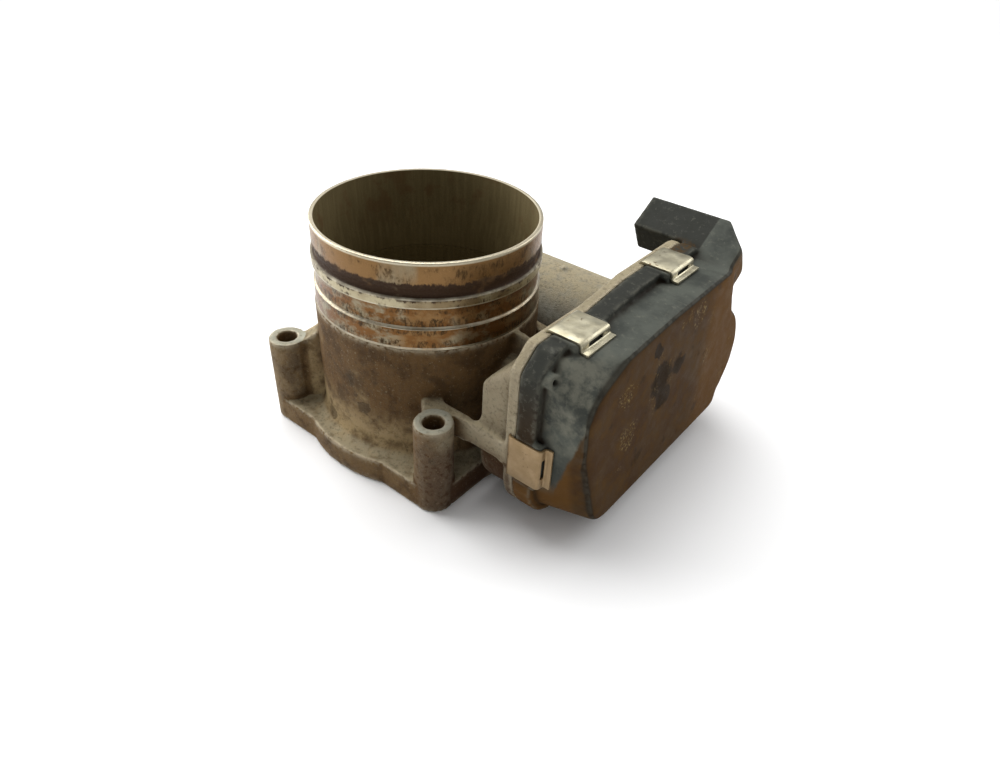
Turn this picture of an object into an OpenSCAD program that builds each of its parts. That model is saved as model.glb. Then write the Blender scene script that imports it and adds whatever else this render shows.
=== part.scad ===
// Electronic throttle body: a cast aluminium housing with a motor-driven butterfly plate.
// Origin: where the bore's axis meets the mounting face of the flange.
// +Z runs up the bore to the inlet, +X along the throttle shaft to the gears, +Y to the motor.

/* [Bore and inlet] */
// Height from the mounting face to the inlet rim
body_h = 79; // [74:1:90]
// Radius of the bore where the plate closes
bore_r = 34; // [33:0.5:34.5]
// Outside radius of the inlet spigot
spigot_r = 37; // [36.8:0.1:37.4]
// Outside radius of the rough-cast tube
tube_r = 37.8; // [37.6:0.1:38.4]
// Height at which the machined spigot starts
spigot_z = 50.7; // [49:0.5:54]

/* [Mounting flange] */
// Thickness of the flange
flange_t = 9; // [7:0.5:11]
// Distance between neighbouring bolt holes
bolt_spacing = 69.6; // [68:0.2:71]
// Radius of a bolt hole
bolt_hole_r = 3.35; // [3.2:0.05:3.6]
// Radius of a bolt boss
boss_r = 6.35; // [6:0.05:6.8]
// Height of the bolt bosses
boss_h = 32.5; // [28:0.5:36]

/* [Throttle] */
// Height of the shaft's axis above the mounting face
shaft_z = 33; // [32.5:0.1:33.5]
// Radius of the throttle shaft
shaft_r = 5; // [4.5:0.1:5]
// Thickness of the throttle plate
plate_t = 2; // [1.8:0.1:2.2]
// Tilt of the plate from level when it is shut
shut_tilt = 4; // [3:0.5:6]
// Further opening of the plate at rest, which lets a failed car limp home
rest_opening = 7; // [5:0.5:9]

/* [Gears] */
// Tooth module of the motor pinion and the large wheel
module_fast = 0.8; // [0.8]
// Tooth module of the small wheel and the sector
module_slow = 1; // [1]
// Teeth on the motor pinion
pinion_teeth = 13; // [13]
// Teeth on the large wheel of the intermediate gear
large_teeth = 56; // [56]
// Teeth on the small wheel of the intermediate gear
small_teeth = 13; // [13]
// Teeth that the sector gear would have as a full wheel
sector_teeth = 50; // [50]

/* [Motor] */
// Distance of the motor's axis behind the bore's axis
motor_y = 57.5; // [57.3:0.1:57.7]
// Height of the motor's axis above the mounting face
motor_z = 22.4; // [22.2:0.1:22.6]
// Radius of the motor can
can_r = 17.4; // [17:0.1:17.5]

/* [Gear case and cover] */
// Where the cover meets the case, along the shaft
seam_x = 60.2; // [59.8:0.1:60.6]
// Depth of the cover's rim band
rim_depth = 6.5; // [5.5:0.5:7]
// Thickness of the cover's walls
wall = 2.2; // [2:0.1:2.3]
// Width of a spring clip
clip_w = 14.5; // [12:0.5:15]
// Thickness of the clips' spring steel
clip_t = 0.8; // [0.7:0.1:0.9]

/* [Hidden] */
$fn = 96;
slip = 0.02; // radial gap of a pressed or glued fit
run = 0.05; // radial gap of a running fit
seal_gap = 0.08; // radial gap of a shaft seal's lip

// Colours
cast_grey = [0.52, 0.50, 0.45];
machined = [0.72, 0.71, 0.66];
steel = [0.66, 0.66, 0.68];
dark_steel = [0.30, 0.30, 0.32];
brass = [0.76, 0.62, 0.30];
copper = [0.72, 0.42, 0.22];
black_plastic = [0.20, 0.22, 0.23];
gear_plastic = [0.86, 0.84, 0.76];
rubber = [0.10, 0.10, 0.10];
board_green = [0.10, 0.34, 0.20];

// Flange
bolt_at = bolt_spacing / 2;
flange_round_r = 44.5;

// Rib from the front bolt boss to the gear case
rib_x = 30;
rib_y = -28;
rib_z = 24;
rib_t = 3;
inlet_r = 35.6;
inlet_taper_z = 62;

// Gear pan of the housing, cut out of the case outline
lip_x = 56.5;
pan_x = 44.5;
pan_floor = 2.5;
pan_slope_t = 3.4;
lip_t = 2;
pan_inset = 2.7;
pocket_inset = pan_inset + wall;

// Bosses for the shaft's bearings and for the intermediate gear's pin
left_seat_r = 8;
left_boss_r = 10.5;
left_boss_x = -47;
right_seat_r = 7.5;
shaft_boss_r = 9.8;
shaft_boss_end = 50.5;
gear_pin_r = 2.5;
pin_boss_r = 5;
pin_boss_end = 57.5;

// Motor
barrel_r = can_r + 3.1;
barrel_x = -12;
can_x = -9;
can_len = pan_x + pan_floor - can_x;

// Gear axes, worked out in the plane across the shaft, as [y, z]
shaft_at = [0, shaft_z];
motor_at = [motor_y, motor_z];
slow_centres = module_slow * (sector_teeth + small_teeth) / 2;
fast_centres = module_fast * (large_teeth + pinion_teeth) / 2;
shaft_to_motor = norm(motor_at - shaft_at);
along_line = (pow(slow_centres, 2) - pow(fast_centres, 2) + pow(shaft_to_motor, 2)) / (2 * shaft_to_motor);
off_line = sqrt(pow(slow_centres, 2) - pow(along_line, 2));
line_dir = (motor_at - shaft_at) / shaft_to_motor;
gear_at = shaft_at + along_line * line_dir + off_line * [-line_dir[1], line_dir[0]];
sector_mesh_angle = atan2(gear_at[1] - shaft_at[1], gear_at[0] - shaft_at[0]);
motor_mesh_angle = atan2(motor_at[1] - gear_at[1], motor_at[0] - gear_at[0]);

// Where the gears lie along the shaft
sector_x = 59;
sector_w = 6;
large_x = 66.3;
large_w = 6;
pinion_x = 65.5;
pinion_w = 8;
hub_x = sector_x - 5.5;
hub_end = sector_x + sector_w + 0.1;
hub_r = 7.5;
pressure_angle = 25;
backlash = 0.12;

// Stop pins, which the sector's edges meet at the ends of its travel
first_tooth = -13;
last_tooth = 3;
tooth_pitch = 360 / sector_teeth;
stop_r = 2;
stop_ring_r = 20;
shut_travel = 7;
open_travel = 79;
stop_half_angle = asin((stop_r + 0.35) / stop_ring_r);
stop_angles = [
    sector_mesh_angle + (first_tooth - 0.5) * tooth_pitch - shut_travel - stop_half_angle,
    sector_mesh_angle + (last_tooth + 0.5) * tooth_pitch + open_travel + stop_half_angle,
];
stop_start_x = [pan_x + 1.2, 54];
stop_boss_end = [50.5, 58.2];
stop_boss_r = 3.6;

// Motor screws, as angles around the motor's axis
screw_angles = [135, 218];
screw_ring_r = 19.8;

// Cover
rim_x = seam_x + rim_depth;
board_x = 74.9;
board_t = 1.6;
board_posts = [[-13, 46], [49, 49], [-13, 20]];
board_corners = [
    [-13.5, 14, 1],
    [14, 14, 1],
    [14, 44, 3],
    [60.5, 44, 1],
    [60.5, 53, 1],
    [58.8, 57.5, 1],
    [4, 57.5, 1],
    [-9, 54.6, 1],
    [-18, 50.5, 1],
    [-20, 44, 1],
];
face_top_x = 81.4;
face_low_x = 84.4;
face_top_z = 64;
case_top_z = 67.5;
face_lean = atan((face_low_x - face_top_x) / (face_top_z - 2));

// Small lug on the rim's front top corner
lug_at = [-23.6, 58.1];
lug_r = 2.3;
lug_hole_r = 0.9;

// Connector, on axes that are tilted back about X
socket_tilt = 30;
socket_at = [63.1, 67];
socket_x = 40.5;
socket_w = 22;
socket_h = 13;
socket_len = 14;
socket_wall = 1.8;
pin_half = 0.32;
pin_end = 7.5;
pin_rows = [-4.5, -8.5];
pins_in_row = 3;
pin_pitch = 4.5;
lead_pitch = 1.2;

// Spring clips, along the shaft and outwards from the rim
clip_start_x = 58.05;
clip_leg_x = 69.4;
clip_end_x = 72.4;
clip_gap = 0.1;
clip_hook = 1.3;
clip_leg = 2.5;

// [y, z, angle of the outward direction] at the middle of each clip
clips = [
    [-27.7, 29.2, 180],
    [-6.5, 65.2, 90],
    [44.2, case_top_z, 90],
    [8, 1.5, -90],
    [38, 1.5, -90],
];

// ---------- shared shapes ----------

// Draws its children's 2D shape in the Y-Z plane and pulls it out along X
module along_x(x, len) {
    translate([x, 0, 0])
        rotate([90, 0, 90])
            linear_extrude(len)
                children();
}

// A rod along X at [y, z]
module rod(at, x, len, r) {
    translate([x, at[0], at[1]])
        rotate([0, 90, 0])
            cylinder(h = len, r = r);
}

// A tube along X at [y, z]
module ring(at, x, len, r_out, r_in) {
    difference() {
        rod(at, x, len, r_out);
        rod(at, x - 1, len + 2, r_in);
    }
}

// Point on a circle of radius r around [y, z]
function on_ring(at, r, a) = at + r * [cos(a), sin(a)];

// Unit vector at right angles to the edge a-b, pointing into an outline that runs anticlockwise
function inward(a, b) = [a[1] - b[1], b[0] - a[0]] / norm([a[1] - b[1], b[0] - a[0]]);

// 1 at a convex corner of an anticlockwise outline and -1 at a hollow one
function bend(before, after) = sign(before[0] * after[1] - before[1] * after[0]);

// Moves each corner [y, z, r] of an outline inwards by d
function inset(corners, d) = [
    for (i = [0 : len(corners) - 1])
        let (
            n = len(corners),
            p = corners[i],
            before = inward(corners[(i + n - 1) % n], p),
            after = inward(p, corners[(i + 1) % n]),
            moved = [p[0], p[1]] + d * (before + after) / (1 + before * after)
        )
        [moved[0], moved[1], max(p[2] - d * bend(before, after), 0.3)]
];

// Rounds each corner [y, z, r] of an outline with an arc
function rounded(corners, steps = 8) = [
    for (i = [0 : len(corners) - 1])
        let (
            n = len(corners),
            p = [corners[i][0], corners[i][1]],
            before = inward(corners[(i + n - 1) % n], p),
            after = inward(p, corners[(i + 1) % n]),
            side = bend(before, after),
            r = side * corners[i][2],
            centre = p + r * (before + after) / (1 + before * after),
            start = atan2(-before[1], -before[0]),
            turn = (atan2(-after[1], -after[0]) - start + 540) % 360 - 180
        )
        for (k = [0 : steps])
            centre + r * [cos(start + turn * k / steps), sin(start + turn * k / steps)]
];

// Outline of the gear case and of the cover's rim, anticlockwise
case_corners = [
    [-27.7, 1.5, 18],
    [70, 1.5, 4],
    [71.5, 47, 4],
    [62.5, case_top_z, 5],
    [24, case_top_z, 8],
    [5, 65.2, 8],
    [-20.5, 65.2, 3],
    [-27.7, 58.5, 3],
];

// Round end of the case around the motor
case_round_at = motor_at + [0, 3.5];
case_round_r = 24;

module case_outline(d = 0) {
    polygon(rounded(inset(case_corners, d)));
    translate(case_round_at)
        circle(r = case_round_r - d);
}

// Outline of the cover's outer face, which draws in from the rim at the front corners
face_corners = [
    [-14, 5.6, 6],
    [68.5, 5.6, 3],
    [68.5, 44, 4],
    [60.8, 64.6, 4],
    [24, 64.4, 8],
    [2, 63, 6],
    [-20, 54, 6],
    [-25.3, 46, 3],
];
bulge_at = [motor_y, 29];
bulge_r = 20.2;

module face_outline(d = 0) {
    polygon(rounded(inset(face_corners, d)));
    translate(bulge_at)
        circle(r = bulge_r - d);
}

// Point on an involute of base radius rb, where it has reached radius r
function involute_angle(rb, r) = let (t = acos(rb / r)) tan(t) * 180 / PI - t;

// One tooth centred on angle 0, as points from root to tip and back
function tooth(m, teeth) =
    let (
        pitch_r = m * teeth / 2,
        base_r = pitch_r * cos(pressure_angle),
        root_r = pitch_r - 1.2 * m,
        tip_r = pitch_r + 0.95 * m,
        start_r = max(base_r, root_r),
        half = 90 / teeth - backlash / 2 / pitch_r * 180 / PI / 2 + involute_angle(base_r, pitch_r),
        steps = 5,
        flank = [
            for (k = [0 : steps])
                let (r = start_r + (tip_r - start_r) * k / steps)
                [r, half - involute_angle(base_r, r)]
        ],
        foot = base_r > root_r ? [[root_r, half + 0.4]] : [],
        side = concat(foot, flank)
    )
    concat(
        [for (p = side) p[0] * [cos(-p[1]), sin(-p[1])]],
        [for (k = [len(side) - 1 : -1 : 0]) side[k][0] * [cos(side[k][1]), sin(side[k][1])]]
    );

// A spur gear's outline, with a tooth centred on the given angle
module gear_outline(m, teeth, angle) {
    points = tooth(m, teeth);
    polygon([
        for (i = [0 : teeth - 1])
            let (a = angle + i * 360 / teeth)
            for (p = points)
                [p[0] * cos(a) - p[1] * sin(a), p[0] * sin(a) + p[1] * cos(a)]
    ]);
}

// Places its children in the shaft's own turned frame: the plate lies level when turn is 0
module on_shaft(turn) {
    translate([0, 0, shaft_z])
        rotate([turn, 0, 0])
            children();
}

module at_bolts() {
    for (x = [-1, 1], y = [-1, 1])
        translate([x * bolt_at, y * bolt_at, 0])
            children();
}

// ---------- housing ----------

spigot_rows = [
    [0, tube_r],
    [spigot_z, tube_r],
    [spigot_z, 37.45],
    [57.6, 37.45],
    [58.1, 36.9],
    [64.2, 36.7],
    [64.6, 37.6],
    [67.9, 37.6],
    [68.1, 36.4],
    [70.6, 36.5],
    [70.9, spigot_r],
    [body_h - 0.4, spigot_r],
    [body_h, spigot_r - 0.4],
];

module tube() {
    rotate_extrude()
        polygon(concat(
            [[0, 0]],
            [for (row = spigot_rows) [row[1], row[0]]],
            [[0, body_h]]
        ));
}

module bore_cut() {
    rotate_extrude()
        polygon([
            [0, -1],
            [bore_r, -1],
            [bore_r, inlet_taper_z - 6],
            [inlet_r, inlet_taper_z + 4],
            [inlet_r, body_h + 1],
            [0, body_h + 1],
        ]);
}

// The bosses round the corners and stand a little proud of the straight edges
module flange_outline() {
    half = bolt_at + boss_r - 0.15;
    corner_r = boss_r + 2;
    polygon(rounded([
        [-half, -half, corner_r],
        [half, -half, corner_r],
        [half, half, corner_r],
        [-half, half, corner_r],
    ]));
    circle(r = flange_round_r);
}

// Web between a bolt boss and the tube, whose top climbs towards the tube
module boss_web(sx, sy) {
    inner = tube_r * cos(45) - 1;
    rise = sx > 0 && sy < 0 ? 0.5 : 4;
    web_t = 7;
    rotate([0, 0, atan2(sy, sx)])
        translate([0, web_t / 2, 0])
            rotate([90, 0, 0])
                linear_extrude(web_t)
                    polygon([
                        [inner, 0],
                        [bolt_at * sqrt(2) - boss_r + 1.5, 0],
                        [bolt_at * sqrt(2) - boss_r + 1.5, boss_h - 0.6],
                        [tube_r, boss_h + rise],
                        [inner, boss_h + rise],
                    ]);
}

// Cutting block that slopes the pan's top down towards the tube; moved in by t for the inside
module pan_slope(t) {
    slope_angle = 41;
    translate([pan_x, -60, 47.1 - t])
        rotate([0, -slope_angle, 0])
            translate([-40, 0, 0])
                cube([80, 200, 60]);
}

module pan_solid(d, from, to, t) {
    difference() {
        along_x(from, to - from) case_outline(d);
        pan_slope(t);
    }
}

module housing_outside() {
    tube();
    linear_extrude(flange_t) flange_outline();
    at_bolts() cylinder(h = boss_h, r = boss_r);
    for (sx = [-1, 1], sy = [-1, 1])
        boss_web(sx, sy);
    // Gear pan and its lip
    pan_solid(pan_inset, pan_x, lip_x + 1, 0);
    along_x(lip_x, seam_x - lip_x) case_outline();
    // Rib from the front bolt boss to the lip
    translate([rib_x, rib_y, rib_z])
        cube([lip_x - rib_x + 0.2, rib_t, boss_h - rib_z - 0.4]);
    // Short rib over the shaft
    translate([tube_r - 1, -1.2, shaft_z])
        cube([pan_x - tube_r + 4, 2.4, 17]);
    // Motor barrel, bearing bosses and the motor's web to the tube
    rod(motor_at, barrel_x, lip_x - barrel_x + 1, barrel_r);
    rod(shaft_at, left_boss_x, 20, left_boss_r);
    rod(shaft_at, 30, 18.5, shaft_boss_r);
    for (a = screw_angles)
        rod(on_ring(motor_at, screw_ring_r, a), pan_x - 5, 6, 3);
    translate([-10, 30, 2])
        cube([pan_x + 10, 20, flange_t - 2]);
    // Nub on top of the barrel
    translate([17, motor_y, motor_z + barrel_r - 1])
        cylinder(h = 2.2, r = 1.4);
}

module throttle_housing() {
    color(cast_grey)
    difference() {
        housing_outside();
        bore_cut();
        at_bolts() translate([0, 0, -1]) cylinder(h = boss_h + 2, r = bolt_hole_r);
        // Room for the washers of the rear bolts
        at_bolts() translate([0, 0, boss_h]) cylinder(h = 9, r = boss_r + 0.2);
        // Inside of the pan, around the bosses that stand on its floor
        difference() {
            union() {
                pan_solid(pocket_inset, pan_x + pan_floor, seam_x, pan_slope_t);
                along_x(lip_x + lip_t, 10) case_outline(pocket_inset);
            }
            rod(shaft_at, 30, shaft_boss_end - 30, shaft_boss_r);
            rod(gear_at, pan_x, pin_boss_end - pan_x, pin_boss_r);
            for (i = [0, 1])
                rod(on_ring(shaft_at, stop_ring_r, stop_angles[i]), pan_x, stop_boss_end[i] - pan_x, stop_boss_r);
        }
        // Seal groove in the lip
        difference() {
            along_x(seam_x - 1.5, 2) case_outline(1.5);
            along_x(seam_x - 2, 3) case_outline(3.5);
        }
        // Shaft passage with its pockets for the seals and bearings
        rod(shaft_at, -60, 120, shaft_r + 0.3);
        rod(shaft_at, -60, 22.5, left_seat_r);
        rod(shaft_at, 36.5, 30, right_seat_r);
        // Motor cavity
        rod(motor_at, can_x - 0.4, 60, can_r + 0.15);
        rod(motor_at, barrel_x + 1, 10, 5.5);
        // Holes for the gear's pin, the stop pins and the motor's screws
        rod(gear_at, pan_x + 1, 14, gear_pin_r);
        for (i = [0, 1])
            rod(on_ring(shaft_at, stop_ring_r, stop_angles[i]), stop_start_x[i] - 0.2, 20, stop_r);
        for (a = screw_angles)
            rod(on_ring(motor_at, screw_ring_r, a), pan_x - 3.2, 10, 1.3);
        // Slots that the clips hook into
        for (c = clips)
            clip_frame(c)
                translate([clip_start_x - 0.15, -clip_w / 2 - 0.3, -clip_hook - 0.15])
                    cube([clip_t + 0.3, clip_w + 0.6, 6]);
    }
}

// ---------- throttle ----------

module throttle_plate() {
    color(brass)
    on_shaft(rest_opening)
    difference() {
        intersection() {
            rotate([shut_tilt, 0, 0])
                translate([-50, -50, -plate_t / 2])
                    cube([100, 100, plate_t]);
            translate([0, 0, -20])
                cylinder(h = 40, r = bore_r - 0.2, $fn = 128);
        }
        rotate([shut_tilt, 0, 0])
            for (x = [-15, 15])
                translate([x, 0, -5])
                    cylinder(h = 10, r = 1.8, $fn = 32);
    }
}

module throttle_shaft() {
    color(steel)
    on_shaft(rest_opening + shut_tilt)
    difference() {
        union() {
            rod([0, 0], -39.2, 39.2 + hub_end - 1, shaft_r);
            rod([0, 0], -44.4, 6, 4);
            rod([0, 0], hub_end - 2, 7.4, 3);
        }
        // Slot for the plate, and its screw holes
        translate([-bore_r - 0.1, -10, -plate_t / 2 - slip])
            cube([2 * bore_r + 0.2, 20, plate_t + 2 * slip]);
        for (x = [-15, 15])
            translate([x, 0, -8]) {
                cylinder(h = 16, r = 1.8, $fn = 32);
                translate([0, 0, 11.2]) cylinder(h = 5, r = 3.1, $fn = 32);
            }
    }
}

module plate_screws() {
    color(steel)
    on_shaft(rest_opening + shut_tilt)
    for (x = [-15, 15])
        translate([x, 0, 0])
            difference() {
                union() {
                    translate([0, 0, -4.6]) cylinder(h = 8, r = 1.5, $fn = 32);
                    translate([0, 0, 3.2]) cylinder(h = 2, r = 2.9, $fn = 32);
                }
                for (a = [0, 90])
                    rotate([0, 0, a])
                        translate([-2, -0.3, 4.2])
                            cube([4, 0.6, 2]);
            }
}

module left_bearing_outer_race() {
    color(steel)
    difference() {
        ring(shaft_at, -44.2, 5, left_seat_r - slip, 6.9);
        ball_groove();
    }
}

ball_ring_r = 6.05;
ball_r = 1.15;

module ball_groove() {
    translate([-41.7, 0, shaft_z])
        rotate([0, 90, 0])
            rotate_extrude()
                translate([ball_ring_r, 0])
                    circle(r = ball_r + 0.08, $fn = 32);
}

module left_bearing_inner_race() {
    color(steel)
    difference() {
        ring(shaft_at, -44.2, 5, 5.2, 4 + slip);
        ball_groove();
    }
}

module left_bearing_balls() {
    color(dark_steel)
    for (i = [0 : 10])
        translate([-41.7, 0, shaft_z])
            rotate([i * 360 / 11, 0, 0])
                translate([0, ball_ring_r, 0])
                    sphere(r = ball_r, $fn = 32);
}

module bearing_end_cap() {
    color(machined)
    difference() {
        rod(shaft_at, -46.8, 2, left_seat_r - slip);
        rod(shaft_at, -45.8, 2, 6.4);
    }
}

module needle_bearing_cup() {
    color(steel)
    ring(shaft_at, 39.2, 9, right_seat_r - slip, 6.75);
    color(steel)
    for (x = [39.2, 47.4])
        ring(shaft_at, x, 0.8, 6.8, 5.4);
}

module needle_rollers() {
    color(dark_steel)
    for (i = [0 : 13])
        rod(on_ring(shaft_at, 5.88, i * 360 / 14), 40.1, 7.2, 0.82);
}

module left_shaft_seal() {
    color(rubber)
    ring(shaft_at, -38.9, 1.2, left_seat_r - slip, shaft_r + seal_gap);
}

module right_shaft_seal() {
    color(rubber)
    ring(shaft_at, 36.6, 2.4, right_seat_r - slip, shaft_r + seal_gap);
}

// ---------- sector gear and springs ----------

module sector_gear() {
    color(gear_plastic)
    difference() {
        union() {
            along_x(sector_x, sector_w)
                translate(shaft_at) {
                    intersection() {
                        gear_outline(module_slow, sector_teeth, sector_mesh_angle);
                        sector_wedge(40, 1);
                    }
                    intersection() {
                        circle(r = module_slow * (sector_teeth / 2 - 2.2));
                        sector_wedge(40, 1);
                    }
                }
            rod(shaft_at, hub_x, hub_end - hub_x, hub_r);
        }
        // Bore, and the recess for the steel insert
        rod(shaft_at, 50, 20, shaft_r + slip);
        rod(shaft_at, hub_x - 1, 4, 6.4);
        // Lightening windows
        for (k = [first_tooth + 3 : 4 : last_tooth - 2])
            along_x(sector_x - 1, sector_w + 2)
                translate(shaft_at)
                    rotate(sector_mesh_angle + k * tooth_pitch)
                        translate([15.5, 0])
                            circle(r = 3.2, $fn = 32);
    }
}

// Wedge from the shaft's axis that holds the sector's teeth
module sector_wedge(r, spare) {
    from = sector_mesh_angle + (first_tooth - spare / 2) * tooth_pitch;
    to = sector_mesh_angle + (last_tooth + spare / 2) * tooth_pitch;
    steps = 6;
    polygon(concat(
        [[0, 0]],
        [for (i = [0 : steps]) on_ring([0, 0], r, from + (to - from) * i / steps)]
    ));
}

module sector_insert() {
    color(steel)
    difference() {
        ring(shaft_at, hub_x, 3, 6.4 - slip, shaft_r + slip);
        rod(shaft_at + [0, 6.4], hub_x - 1, 5, 1);
    }
}

module sensor_magnet() {
    color(dark_steel)
    ring(shaft_at, hub_end + 2.4, 3.4, 5.4, 3 + slip);
}

module magnet_yoke() {
    color(steel)
    difference() {
        ring(shaft_at, hub_end + 1.6, 4.2, 6.4, 3 + slip);
        rod(shaft_at, hub_end + 2.4, 5, 5.4 + slip);
    }
}

module shaft_nut() {
    color(steel)
    along_x(hub_end + 0.1, 1.4)
        translate(shaft_at)
            difference() {
                circle(r = 4.8, $fn = 6);
                circle(r = 3 + slip);
            }
}

module spring_sleeve() {
    color(black_plastic)
    ring(shaft_at, 50.6, 1.7, 15, 8.2);
    color(black_plastic)
    ring(shaft_at, 47.1, 3.5, 11.1, 10);
}

// Coils of spring wire around the shaft, one ring for each turn
module return_spring() {
    color(dark_steel)
    for (i = [0 : 1])
        translate([47.9 + i * 1.55, 0, shaft_z])
            rotate([0, 90, 0])
                rotate_extrude()
                    translate([12.3, 0])
                        circle(r = 0.72, $fn = 24);
}

module stop_pins() {
    color(steel)
    for (i = [0, 1])
        rod(on_ring(shaft_at, stop_ring_r, stop_angles[i]), stop_start_x[i], 65 - stop_start_x[i], stop_r - slip);
}

// ---------- intermediate gear ----------

module intermediate_gear() {
    color(gear_plastic)
    difference() {
        union() {
            along_x(sector_x - 0.5, large_x - sector_x + 1)
                translate(gear_at)
                    gear_outline(module_slow, small_teeth, sector_mesh_angle + 180 + 180 / small_teeth);
            along_x(large_x, large_w)
                translate(gear_at)
                    gear_outline(module_fast, large_teeth, motor_mesh_angle);
            rod(gear_at, large_x, large_w + 1.2, 5);
        }
        rod(gear_at, 50, 30, gear_pin_r + run);
        // Web between the rim and the hub
        ring(gear_at, large_x + 4, 5, 18.6, 6.5);
        for (i = [0 : 4])
            rod(on_ring(gear_at, 12.6, i * 72), large_x - 1, 10, 4);
    }
}

module intermediate_pin() {
    color(steel)
    rod(gear_at, pan_x + 1.2, 31, gear_pin_r - slip);
}

module thrust_washer() {
    color(steel)
    ring(gear_at, pin_boss_end + 0.1, 0.6, pin_boss_r, gear_pin_r + 0.1);
}

// ---------- motor ----------

module motor_can() {
    color(steel)
    difference() {
        union() {
            rod(motor_at, can_x, can_len - 0.3, can_r);
            rod(motor_at, can_x - 1.4, 3, 5);
        }
        rod(motor_at, can_x + 1.2, can_len, can_r - 1.4);
        rod(motor_at, can_x - 0.2, 3, 3.8);
        rod(motor_at, can_x - 3, 5, 1.9);
    }
}

module motor_magnets() {
    color(dark_steel)
    for (side = [0, 180])
        along_x(can_x + 8, 36)
            translate(motor_at)
                rotate(side)
                    difference() {
                        intersection() {
                            circle(r = can_r - 1.4 - slip);
                            polygon([[0, 0], [20, -22], [20, 22]]);
                        }
                        circle(r = 11.8);
                    }
}

module armature_core() {
    color(dark_steel)
    along_x(can_x + 10, 32)
        translate(motor_at)
            difference() {
                union() {
                    circle(r = 5);
                    for (i = [0 : 4])
                        rotate(i * 72) {
                            translate([0, -1.5]) square([9.6, 3]);
                            intersection() {
                                difference() {
                                    circle(r = 11.2);
                                    circle(r = 9.2);
                                }
                                polygon([[0, 0], [14, -8.4], [14, 8.4]]);
                            }
                        }
                }
                circle(r = 1.5 + slip);
            }
}

module armature_windings() {
    color(copper)
    for (i = [0 : 4])
        translate([0, motor_y, motor_z])
            rotate([i * 72, 0, 0])
                difference() {
                    translate([can_x + 8.6, 5.2, -2.7]) cube([34.8, 3.4, 5.4]);
                    translate([can_x + 9.9, 5, -1.55]) cube([32.2, 4, 3.1]);
                }
}

module commutator() {
    color(copper)
    difference() {
        ring(motor_at, can_x + 47.5, 7.5, 4.6, 1.5 + slip);
        for (i = [0 : 4])
            translate([can_x + 47, motor_y, motor_z])
                rotate([i * 72 + 36, 0, 0])
                    translate([0, 4, -0.2])
                        cube([9, 2, 0.4]);
    }
}

module motor_shaft() {
    color(steel)
    rod(motor_at, can_x + 0.2, pinion_x + pinion_w - can_x, 1.5);
}

module motor_pinion() {
    color(brass)
    difference() {
        along_x(pinion_x, pinion_w)
            translate(motor_at)
                gear_outline(module_fast, pinion_teeth, motor_mesh_angle + 180 + 180 / pinion_teeth);
        rod(motor_at, pinion_x - 1, pinion_w + 2, 1.5 + slip);
    }
}

module rear_bushing() {
    color(brass)
    ring(motor_at, can_x - 0.1, 2.8, 3.8 - slip, 1.5 + run);
}

module front_bushing() {
    color(brass)
    ring(motor_at, 48.1, 3.9, 4.2 - slip, 1.5 + run);
}

module brush_carrier() {
    color(black_plastic)
    difference() {
        rod(motor_at, 37.6, 9, can_r - 1.4 - slip);
        rod(motor_at, 36, 9.2, 14.2);
        rod(motor_at, 36, 20, 5.4);
    }
    color(black_plastic)
    for (side = [0, 180])
        along_x(39, 6.4)
            translate(motor_at)
                rotate(side)
                    difference() {
                        translate([5.6, -3]) square([9, 6]);
                        translate([5, -2.05]) square([9, 4.1]);
                    }
}

module brushes() {
    color(dark_steel)
    for (side = [0, 180])
        along_x(39.8, 4.6)
            translate(motor_at)
                rotate(side)
                    translate([4.75, -2]) square([4.6, 4]);
}

module brush_springs() {
    color(steel)
    for (side = [0, 180])
        translate([42.1, motor_y, motor_z])
            rotate([side, 0, 0])
                translate([0, 9.5, 0])
                    rotate([-90, 0, 0])
                        for (i = [0 : 3])
                            translate([0, 0, 0.4 + i * 1.1])
                                rotate_extrude()
                                    translate([1.2, 0])
                                        circle(r = 0.3, $fn = 16);
}

module motor_terminals() {
    color(brass)
    for (side = [-1, 1])
        translate([46.6, motor_y + side * 9 - 2, motor_z - 9.4])
            cube([11, 4, 0.8]);
}

module motor_plate() {
    color(steel)
    difference() {
        union() {
            rod(motor_at, 47.1, 1.6, can_r - 0.3);
            for (a = screw_angles)
                rod(on_ring(motor_at, screw_ring_r, a), 47.1, 1.6, 3.6);
            rod(motor_at, 47.1, 4.6, 6);
        }
        rod(motor_at, 48, 6, 4.2);
        rod(motor_at, 46, 6, 1.8);
        for (a = screw_angles)
            rod(on_ring(motor_at, screw_ring_r, a), 46, 6, 1.6);
        for (side = [-1, 1])
            translate([46, motor_y + side * 9 - 2.5, motor_z - 10])
                cube([5, 5, 2]);
    }
}

module motor_screws() {
    color(steel)
    for (a = screw_angles)
        difference() {
            union() {
                rod(on_ring(motor_at, screw_ring_r, a), pan_x - 2.5, 7, 1.3 - slip);
                rod(on_ring(motor_at, screw_ring_r, a), 48.8, 1.8, 2.6);
            }
            along_x(49.8, 2)
                translate(on_ring(motor_at, screw_ring_r, a))
                    circle(r = 1.2, $fn = 6);
        }
}

module wave_spring() {
    color(steel)
    ring(motor_at, barrel_x + 2.65, 0.3, 15, 8);
}

// ---------- cover ----------

// Places its children on a clip: X along the shaft, Y along the rim, Z outwards from the rim
module clip_frame(c) {
    translate([0, c[0], c[1]])
        rotate([c[2] - 90, 0, 0])
            children();
}

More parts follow.
